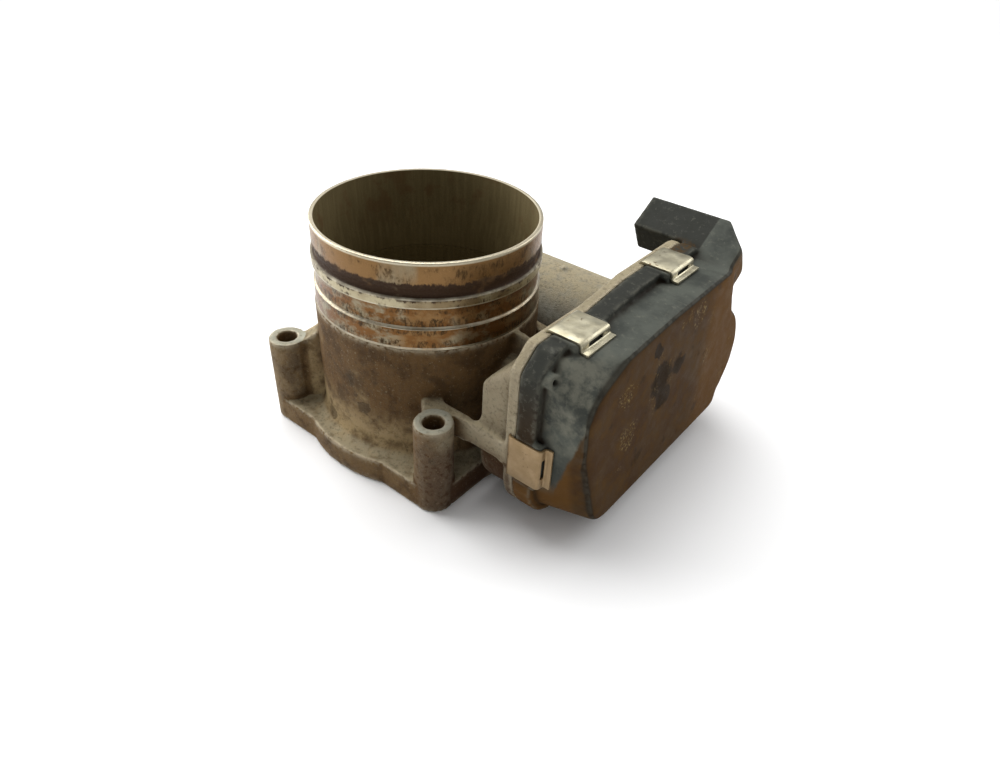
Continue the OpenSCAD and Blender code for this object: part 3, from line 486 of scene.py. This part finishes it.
def cover_look():
    """Dark slate plastic, with dust above, a film of mud on the outer face, scuffed edges, and painted shade
    in its corners and along the outer face's edge.
    """
    look = Look("cover_plastic_dusty_and_shaded")
    edge, hollow = look.attribute("edge"), look.attribute("hollow")
    cloud = look.noise(13, 21)
    patch = look.noise(4.5, 22, 5.0, 0.6)
    grain = look.noise(0.5, 23, 3.0, 0.7)

    slate, pale_slate = (0.044, 0.048, 0.042), (0.080, 0.086, 0.073)
    rim_brown, rim_slate = (0.030, 0.020, 0.011), (0.032, 0.033, 0.028)
    corner_dust, thin_dust, scuff = (0.185, 0.180, 0.140), (0.165, 0.162, 0.130), (0.170, 0.165, 0.130)
    mud_dark, mud_light = (0.050, 0.023, 0.007), (0.066, 0.036, 0.013)
    mud_warm, mud_orange = (0.084, 0.042, 0.011), (0.112, 0.052, 0.012)
    damp, edge_shade_dark, corner_grime_and_shade = (0.022, 0.012, 0.004), (0.016, 0.013, 0.009), (0.014, 0.010, 0.006)
    ochre, rust = (0.215, 0.150, 0.058), (0.060, 0.034, 0.012)

    colour = look.mix(look.ramp(cloud, 0.38, 0.62), slate, pale_slate)
    # The rim band is darker, and browner towards the bottom
    rim = look.ramp(look.x, RIM_X + 0.4, RIM_X - 0.2)
    colour = look.lay(colour, look.mix(look.ramp(look.z, 40, 62), rim_brown, rim_slate), rim)
    # Pale dust over the front top corner and in patches
    corner = look.both(look.ramp(look.y, -2, -18), look.ramp(look.z, 30, 48), look.inverse(rim))
    colour = look.lay(colour, corner_dust, look.both(corner, look.ramp(patch, 0.36, 0.62)), 0.6)
    colour = look.lay(colour, thin_dust, look.ramp(look.noise(2.0, 24, 4.0, 0.7), 0.54, 0.72), 0.35)
    # Mud film on the outer face and on the lower part of the front
    mud_shade = look.mix(look.ramp(cloud, 0.3, 0.7), mud_dark, mud_light)
    mud_shade = look.lay(mud_shade, mud_warm, look.ramp(patch, 0.45, 0.7, 0.0, 0.7))
    orange_side = look.math("MAXIMUM", look.ramp(look.y, 40, 54), look.ramp(look.x, 79, 76))
    mud_shade = look.lay(mud_shade, mud_orange, orange_side, 0.75)
    face = look.both(look.ramp(look.nx, 0.72, 0.90), look.ramp(look.x, 79, 80.5))
    ragged = look.ragged(patch, 8.0)
    slant = look.math("SUBTRACT", look.z, look.math("MULTIPLY", look.math("SUBTRACT", look.x, 75.0), 3.4))
    low_side = look.both(look.ramp(look.math("ADD", slant, ragged), 29, 25), look.ramp(look.y, 30, 10))
    underneath = look.ramp(look.z, 26, 16)
    mud = look.math("MAXIMUM", face, look.math("MAXIMUM", low_side, underneath))
    colour = look.lay(colour, mud_shade, mud, 0.97)
    # Dark damp patches on the outer face
    wet = look.ramp(look.noise(11, 25, 3.0, 0.6), 0.60, 0.68, 0.0, 0.5)
    for centre, size in (((83, 16, 45), 7.0), ((83, 19, 36), 5.0), ((83, 27, 45), 4.0), ((82, 11, 57), 3.0)):
        wet = look.math("MAXIMUM", wet, look.blob(centre, size, ragged))
    colour = look.lay(colour, damp, look.both(face, wet))
    # Painted shade: a dark band along the rounded edge around the outer face
    edge_shade_band = look.both(look.band(look.nx, 0.50, 0.80, 0.15), look.ramp(look.x, 74, 77))
    colour = look.lay(colour, edge_shade_dark, edge_shade_band, 0.8)
    # Clusters of ochre specks on the outer face
    cluster = look.ramp(look.noise(9, 26), 0.58, 0.68, 0.0, 0.6)
    for centre, size in (((84, -2, 33), 6.0), ((82, 38, 58), 5.0), ((83, -5, 50), 5.0)):
        cluster = look.math("MAXIMUM", cluster, look.blob(centre, size, ragged))
    specks = look.ramp(look.noise(0.9, 27, 4.0, 0.75), 0.52, 0.66)
    colour = look.lay(colour, ochre, look.both(cluster, face, specks))
    # Grime in corners that also carries painted shade, scuffs on edges and a rusty run by the rear clip
    colour = look.lay(colour, corner_grime_and_shade, look.both(hollow, look.ramp(patch, 0.2, 0.6, 0.5, 1.0)))
    worn = look.both(edge, look.ramp(look.noise(2.4, 28), 0.35, 0.6), look.inverse(face))
    colour = look.lay(colour, scuff, worn, 0.3)
    rust_run = look.both(look.ramp(look.noise(1.2, 29), 0.4, 0.55), look.band(look.x, 58, 64, 2),
                         look.band(look.y, 50, 62, 3), look.ramp(look.z, 64, 66))
    colour = look.lay(colour, rust, rust_run, 0.8)

    height = look.math("ADD", look.math("MULTIPLY", grain, 0.5), look.math("MULTIPLY", patch, 0.6))
    normal = look.bump(height, 0.12)
    rough = look.mix(mud, look.ramp(patch, 0.3, 0.7, 0.46, 0.66), look.ramp(patch, 0.3, 0.7, 0.60, 0.80))
    return look.finish(colour, rough, 0.0, normal, Specular_IOR_Level=0.05)


def clip_look():
    """Pale spring steel; the clip at the front is stained tan."""
    look = Look("spring_steel_champagne")
    front = look.ramp(look.y, -22, -26)
    cloud = look.noise(5, 31)
    shade = look.ramp(cloud, 0.3, 0.7)
    colour = look.mix(shade, (0.380, 0.345, 0.240), (0.500, 0.465, 0.340))
    tan = look.mix(shade, (0.235, 0.155, 0.070), (0.320, 0.220, 0.115))
    colour = look.lay(colour, tan, front)
    spots = look.both(look.spots(1.4, 32, 0.60), look.ramp(look.noise(6, 33), 0.5, 0.65))
    rust = (0.090, 0.045, 0.014)
    colour = look.lay(colour, rust, spots, 0.8)
    brushed = look.noise(0.25, 34, 2.0, 0.5, (30, 1, 1))
    normal = look.bump(brushed, 0.012)
    rough = look.ramp(look.noise(3, 35), 0.3, 0.7, 0.30, 0.46)
    metal = look.ramp(front, 0, 1, 0.85, 0.5)
    return look.finish(colour, rough, metal, normal)


def metal_look(name, dark, light, rough, metal, size, seed=40, stretch=(1, 1, 1)):
    """Ground, cast or drawn metal with a soft grain and a few stains."""
    look = Look(name)
    cloud = look.noise(6, seed)
    grain = look.noise(size / 4, seed + 1, 3.0, 0.6, stretch)
    colour = look.mix(look.ramp(cloud, 0.3, 0.7), dark, light)
    stain = tuple(c * 0.35 for c in dark)
    colour = look.lay(colour, stain, look.spots(2.5, seed + 2, 0.64), 0.45)
    roughness = look.ramp(grain, 0.25, 0.75, rough * 0.8, rough * 1.25)
    return look.finish(colour, roughness, metal, look.bump(grain, 0.02))


def moulded_look(name, dark, light, rough, seed):
    """Moulded plastic or rubber with a fine texture and some dust."""
    look = Look(name)
    cloud = look.noise(5, seed)
    grain = look.noise(0.35, seed + 1, 3.0, 0.6)
    colour = look.mix(look.ramp(cloud, 0.3, 0.7), dark, light)
    dust = (0.35, 0.33, 0.28)
    colour = look.lay(colour, dust, look.ramp(look.noise(1.2, seed + 2, 4.0, 0.7), 0.58, 0.74), 0.25)
    roughness = look.ramp(grain, 0.25, 0.75, rough * 0.85, rough * 1.15)
    return look.finish(colour, roughness, 0.0, look.bump(grain, 0.02))


def board_look():
    """Green lacquered board with copper tracks under the lacquer."""
    look = Look("sensor_board_lacquer")
    tracks = look.node("ShaderNodeTexBrick")
    look.put(tracks.inputs["Vector"], look.vector("MULTIPLY", look.place, (0, 1, 1)))
    tracks.inputs["Scale"].default_value = 0.22
    tracks.inputs["Mortar Size"].default_value = 0.03
    line = tracks.outputs["Fac"]
    cloud = look.noise(4, 61)
    lacquer, pale_lacquer, track = (0.018, 0.085, 0.040), (0.030, 0.120, 0.060), (0.060, 0.190, 0.090)
    colour = look.mix(look.ramp(cloud, 0.3, 0.7), lacquer, pale_lacquer)
    colour = look.lay(colour, track, line, 0.7)
    rough = look.ramp(cloud, 0.3, 0.7, 0.25, 0.4)
    return look.finish(colour, rough, 0.0, look.bump(line, 0.03), Specular_IOR_Level=0.6)


LOOKS = {
    "casting": casting_look(),
    "spigot": spigot_look(),
    "cover": cover_look(),
    "clips": clip_look(),
    "plate": metal_look("throttle_plate_brass", (0.130, 0.085, 0.032), (0.200, 0.135, 0.055),
                        0.42, 0.75, 3.0),
    "steel": metal_look("ground_steel", (0.42, 0.42, 0.43), (0.56, 0.56, 0.57),
                        0.26, 0.95, 1.0, 43, (12, 1, 1)),
    "dark_steel": metal_look("dark_steel", (0.060, 0.060, 0.064), (0.115, 0.113, 0.115),
                             0.48, 0.6, 1.5, 46),
    "brass": metal_look("bright_brass", (0.62, 0.43, 0.16), (0.74, 0.55, 0.24), 0.30, 0.95, 1.0, 49),
    "copper": metal_look("enamelled_copper", (0.52, 0.20, 0.08), (0.66, 0.29, 0.12), 0.32, 0.85, 0.8, 52),
    "cap": metal_look("end_cap_aluminium", (0.26, 0.24, 0.19), (0.40, 0.38, 0.31), 0.42, 0.7, 1.5, 55),
    "gear": moulded_look("gear_plastic_ivory", (0.56, 0.52, 0.41), (0.68, 0.64, 0.52), 0.42, 58),
    "black": moulded_look("black_plastic", (0.020, 0.021, 0.022), (0.035, 0.036, 0.037), 0.50, 61),
    "rubber": moulded_look("seal_rubber", (0.012, 0.012, 0.012), (0.026, 0.026, 0.026), 0.72, 64),
    "board": board_look(),
}

NODE_LOOKS = {
    "plate": ["throttle_plate"],
    "dark_steel": ["sensor_magnet", "return_spring", "left_bearing_balls", "needle_rollers", "motor_magnets",
                   "armature_core", "brushes"],
    "brass": ["motor_pinion", "rear_bushing", "front_bushing", "motor_terminals", "motor_contacts",
              "connector_pins"],
    "copper": ["armature_windings", "commutator"],
    "cap": ["bearing_end_cap"],
    "gear": ["sector_gear", "intermediate_gear"],
    "black": ["spring_sleeve", "brush_carrier", "board_chips"],
    "rubber": ["left_shaft_seal", "right_shaft_seal", "cover_seal", "connector_seal"],
    "board": ["sensor_board"],
}


def paint(obj, look):
    obj.data.materials.clear()
    obj.data.materials.append(LOOKS[look])


look_of = {node: look for look, nodes in NODE_LOOKS.items() for node in nodes}
for node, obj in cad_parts.items():
    paint(obj, look_of.get(node, "steel"))


# ---------- casting ----------

def fillet_ring(bm, radius, z, size, steps=8):
    """A ring that fills the corner between an upright cylinder and the flat it stands on."""
    arc = []
    for i in range(steps + 1):
        a = math.pi / 2 * i / steps
        arc.append((radius + size * (1 - math.sin(a)), z + size * (1 - math.cos(a))))
    sunk = 1.0
    profile = [(radius - sunk, z - sunk), (radius + size, z - sunk), *arc, (radius - sunk, z + size)]
    revolve(bm, profile)


def build_casting():
    """The CAD housing below the spigot, with cast corners, grown into one skin."""
    bm = cad_bmesh("throttle_housing")
    casting = add_object("housing_casting", mesh_from(bm, "housing_casting"))
    cutter_bm = bmesh.new()
    axis_r, outer_r, top_z = 0.001, TUBE_R + 3, RIM_Z + 5
    revolve(cutter_bm, [(axis_r, SPIGOT_Z), (outer_r, SPIGOT_Z), (outer_r, top_z), (axis_r, top_z)])
    cutter = add_object("spigot_cutter", mesh_from(cutter_bm, "spigot_cutter"))
    applied(casting, "BOOLEAN", operation="DIFFERENCE", solver="EXACT", object=cutter)
    bpy.data.objects.remove(cutter)

    bm = bmesh.new()
    bm.from_mesh(casting.data)
    bmesh.ops.scale(bm, vec=(1 / MM,) * 3, verts=bm.verts)
    fillet_ring(bm, TUBE_R, FLANGE_T, TUBE_FILLET)
    casting.data = mesh_from(bm, "housing_casting")
    applied(casting, "REMESH", mode="VOXEL", voxel_size=CASTING_VOXEL * MM, use_smooth_shade=True)

    # Every corner is rounded a little, those of the bore and the flange's seat less, the pan's far more
    mesh = casting.data
    x, y, z = points_of(mesh).T
    radius = np.hypot(x, y)
    machined = (radius < TUBE_R - 1) | (z < 0.6)
    relax(mesh, 7, np.where(machined, 0.25, 1.0))
    pan_from, pan_to, fade = 41, 55.5, 2
    pan = np.clip((x - pan_from) / fade, 0, 1) * np.clip((pan_to - x) / fade, 0, 1)
    relax(mesh, 40, pan * (radius > TUBE_R + 2))
    store_wear_and_shade_masks(mesh)
    smooth_shaded(mesh)
    return casting


def arc_points(centre, radius, start, end, steps=5):
    """Points on an arc in the [radius, z] plane; angles in degrees."""
    angles = [math.radians(start + (end - start) * i / steps) for i in range(steps + 1)]
    return [(centre[0] + radius * math.cos(a), centre[1] + radius * math.sin(a)) for a in angles]


def build_spigot():
    """The machined inlet end, turned as on a lathe."""
    edge = 0.25
    outer = [(37.45, SPIGOT_Z - 1.2), (37.45, 57.2), *arc_points((37.2, 57.35), edge, 0, 90),
             (36.9, 57.9), (36.72, 58.3), (36.7, 64.0), (36.85, 64.4),
             *arc_points((37.35, 64.75), edge, -90, 0), *arc_points((37.35, 67.6), edge, 0, 90),
             (36.6, 68.0), (36.4, 68.3), (36.5, 70.4), (36.85, 70.7),
             *arc_points((36.7, 71.2), 0.3, -60, 0), *arc_points((36.55, RIM_Z - 0.45), 0.45, 0, 90)]
    inner = [*arc_points((INLET_R + 0.35, RIM_Z - 0.35), 0.35, 90, 180), (INLET_R, 66), (BORE_R, 56),
             (BORE_R, SPIGOT_Z + 0.02), (BORE_R + 0.8, SPIGOT_Z - 0.1), (BORE_R + 0.8, SPIGOT_Z - 1.2)]
    bm = bmesh.new()
    revolve(bm, outer + inner, steps=256)
    bmesh.ops.recalc_face_normals(bm, faces=bm.faces)
    spigot = add_object("inlet_spigot", mesh_from(bm, "inlet_spigot"))
    spigot.data.set_sharp_from_angle(angle=math.radians(50))
    smooth_shaded(spigot.data)
    return spigot


casting = build_casting()
paint(casting, "casting")
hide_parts("throttle_housing")
spigot = build_spigot()
paint(spigot, "spigot")
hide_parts("throttle_housing")


# ---------- cover ----------

def build_cover():
    """The CAD cover with rounded corners and a low guide at each side of every clip."""
    bm = cad_bmesh("gear_cover")
    start_x, end_x, low_z, high_z = SEAM_X + 0.6, RIM_X + 2.0, -1.5, 0.7
    for clip in CLIPS:
        turn = clip_turn(clip)
        for side in (-1, 1):
            mid = side * (CLIP_W / 2 + 1.0)
            add_box(bm, (start_x, mid - GUIDE_T / 2, low_z), (end_x, mid + GUIDE_T / 2, high_z), turn)
    cover = add_object("gear_cover_shell", mesh_from(bm, "gear_cover_shell"))
    applied(cover, "REMESH", mode="VOXEL", voxel_size=COVER_VOXEL * MM, use_smooth_shade=True)
    # The corners soften towards the outer face
    mesh = cover.data
    x = points_of(mesh)[:, 0]
    relax(mesh, 6, np.full(len(x), 0.8))
    relax(mesh, 60, np.clip((x - RIM_X - 3.5) / 4, 0, 1))
    store_wear_and_shade_masks(mesh)
    smooth_shaded(mesh)
    return cover


cover = build_cover()
paint(cover, "cover")
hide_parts("gear_cover")


# ---------- clips ----------

def bent_path(corners, radius, steps=5):
    """Points along a line of straight stretches whose corners are bent to a radius."""
    points = [Vector(corners[0])]
    for before, at, after in zip(corners, corners[1:], corners[2:]):
        at = Vector(at)
        a = Vector(before) - at
        b = Vector(after) - at
        reach = min(radius, a.length / 2.2, b.length / 2.2)
        start = at + a.normalized() * reach
        end = at + b.normalized() * reach
        for i in range(steps + 1):
            t = i / steps
            points.append(start * (1 - t) ** 2 + at * 2 * t * (1 - t) + end * t ** 2)
    points.append(Vector(corners[-1]))
    return points


def build_clips():
    """Spring clips of bent sheet with a window in the front leg."""
    half = CLIP_W / 2
    plate_z = 0.1 + CLIP_T / 2
    hook_x, leg_x, lip_x = 58.45, 69.8, 72.4
    hook_z, lip_z = -1.3, -2.1
    window_low, window_high = -1.75, -0.45
    corners = [(hook_x, hook_z), (hook_x, plate_z), (leg_x, plate_z), (leg_x, lip_z), (lip_x, lip_z)]
    path = bent_path(corners, 1.3)
    columns = [-half, -half / 2, half / 2, half]
    bm = bmesh.new()
    for clip in CLIPS:
        turn = clip_turn(clip)
        grid = [[bm.verts.new(turn @ Vector((p.x, y, p.y))) for y in columns] for p in path]
        for i in range(len(path) - 1):
            mid = (path[i] + path[i + 1]) / 2
            beside_window = mid.x > leg_x - 0.3 and window_low < mid.y < window_high
            for k in range(len(columns) - 1):
                if beside_window and k == 1:
                    continue
                bm.faces.new((grid[i][k], grid[i][k + 1], grid[i + 1][k + 1], grid[i + 1][k]))
    clips = add_object("spring_clips", mesh_from(bm, "spring_clips"))
    applied(clips, "SOLIDIFY", thickness=CLIP_T * MM, offset=0)
    applied(clips, "BEVEL", width=0.12 * MM, segments=2, limit_method="ANGLE", angle_limit=math.radians(50))
    smooth_shaded(clips.data)
    clips.data.set_sharp_from_angle(angle=math.radians(40))
    return clips


clips = build_clips()
paint(clips, "clips")
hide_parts("cover_clips")


# ---------- wound springs ----------

def coil(name, start, end, radius, wire, turns):
    """A wire of radius wire, wound between two points on an axis, in millimetres."""
    start, end = Vector(start), Vector(end)
    axis = (end - start).normalized()
    side = axis.orthogonal().normalized()
    up = axis.cross(side)
    steps = int(turns * 40)
    points = []
    for i in range(steps + 1):
        t = i / steps
        a = 2 * math.pi * turns * t
        points.append(start.lerp(end, t) + radius * (side * math.cos(a) + up * math.sin(a)))
    curve = bpy.data.curves.new(name, "CURVE")
    curve.dimensions = "3D"
    spline = curve.splines.new("POLY")
    spline.points.add(len(points) - 1)
    for point, p in zip(spline.points, points):
        point.co = (*(p * MM), 1)
    curve.bevel_depth = wire * MM
    curve.bevel_resolution = 4
    curve.use_fill_caps = True
    source = bpy.data.objects.new(name, curve)
    bpy.context.scene.collection.objects.link(source)
    mesh = bpy.data.meshes.new_from_object(source.evaluated_get(bpy.context.evaluated_depsgraph_get()))
    bpy.data.objects.remove(source)
    smooth_shaded(mesh)
    return add_object(name, mesh)


wound = coil("return_spring_coil", (47.95, 0, SHAFT_Z), (49.45, 0, SHAFT_Z), 12.3, 0.7, 1.9)
paint(wound, "dark_steel")
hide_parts("return_spring")
for name, side in (("brush_spring_left", -1), ("brush_spring_right", 1)):
    inner_y = MOTOR_AT[0] + side * 9.7
    outer_y = inner_y + side * 3.6
    spring = coil(name, (BRUSH_X, inner_y, MOTOR_AT[1]), (BRUSH_X, outer_y, MOTOR_AT[1]), 1.2, 0.25, 4)
    paint(spring, "steel")
    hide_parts("brush_springs")


# ---------- studio ----------

# The middle of the part, in metres, where the softboxes point
AIM = (0.02, 0.02, 0.03)


def build_studio():
    """Plain white floor, soft white surroundings, a wide overhead light and two softboxes."""
    bm = bmesh.new()
    half_width, drop = 3000, 0.3
    bmesh.ops.create_grid(bm, x_segments=1, y_segments=1, size=half_width)
    floor = bpy.data.objects.new("floor", mesh_from(bm, "floor"))
    bpy.context.scene.collection.objects.link(floor)
    floor.location.z = -drop * MM
    look = Look("studio_floor")
    floor.data.materials.append(look.finish((0.90, 0.90, 0.90), 0.9, Specular_IOR_Level=0.1))

    world = bpy.data.worlds.new("studio")
    world.use_nodes = True
    background = world.node_tree.nodes["Background"]
    background.inputs["Color"].default_value = (1.0, 1.0, 1.0, 1)
    background.inputs["Strength"].default_value = 0.42
    bpy.context.scene.world = world

    overhead = bpy.data.lights.new("overhead", "SUN")
    overhead.energy = 2.5
    overhead.angle = math.radians(50)
    lamp = bpy.data.objects.new("overhead", overhead)
    lamp.rotation_euler = (math.radians(-12), math.radians(-26), 0)
    bpy.context.scene.collection.objects.link(lamp)
    for name, place, power in (("left", (-0.62, -0.16, 0.30), 4.5), ("right", (0.30, 0.62, 0.38), 2.2)):
        softbox = bpy.data.lights.new(name, "AREA")
        softbox.energy = power
        softbox.size = 0.5
        lamp = bpy.data.objects.new(name, softbox)
        lamp.location = place
        towards = Vector(AIM) - Vector(place)
        lamp.rotation_euler = towards.to_track_quat("-Z", "Y").to_euler()
        bpy.context.scene.collection.objects.link(lamp)
    # Colours are shown as they are, on white paper
    bpy.context.scene.view_settings.view_transform = "Standard"


def build_camera():
    """Looks down on the front corner of the flange, a little rolled."""
    azimuth, pitch, roll = (math.radians(angle) for angle in (36.93, 36.55, 3.41))
    place = Vector((0.15085, -0.15698, 0.17219))
    focal_share = 0.72161
    right = Vector((math.cos(azimuth), math.sin(azimuth), 0))
    ahead = Vector((-math.sin(azimuth), math.cos(azimuth), 0))
    up = Vector((0, 0, 1))
    forward = ahead * math.cos(pitch) - up * math.sin(pitch)
    top = ahead * math.sin(pitch) + up * math.cos(pitch)
    side = right * math.cos(roll) + top * math.sin(roll)
    top = top * math.cos(roll) - right * math.sin(roll)
    data = bpy.data.cameras.new("camera")
    data.sensor_width = 36
    data.lens = focal_share * data.sensor_width
    data.clip_start = 0.001
    camera = bpy.data.objects.new("camera", data)
    matrix = Matrix((side, top, -forward)).transposed().to_4x4()
    matrix.translation = place
    camera.matrix_world = matrix
    bpy.context.scene.collection.objects.link(camera)
    bpy.context.scene.camera = camera


build_studio()
build_camera()
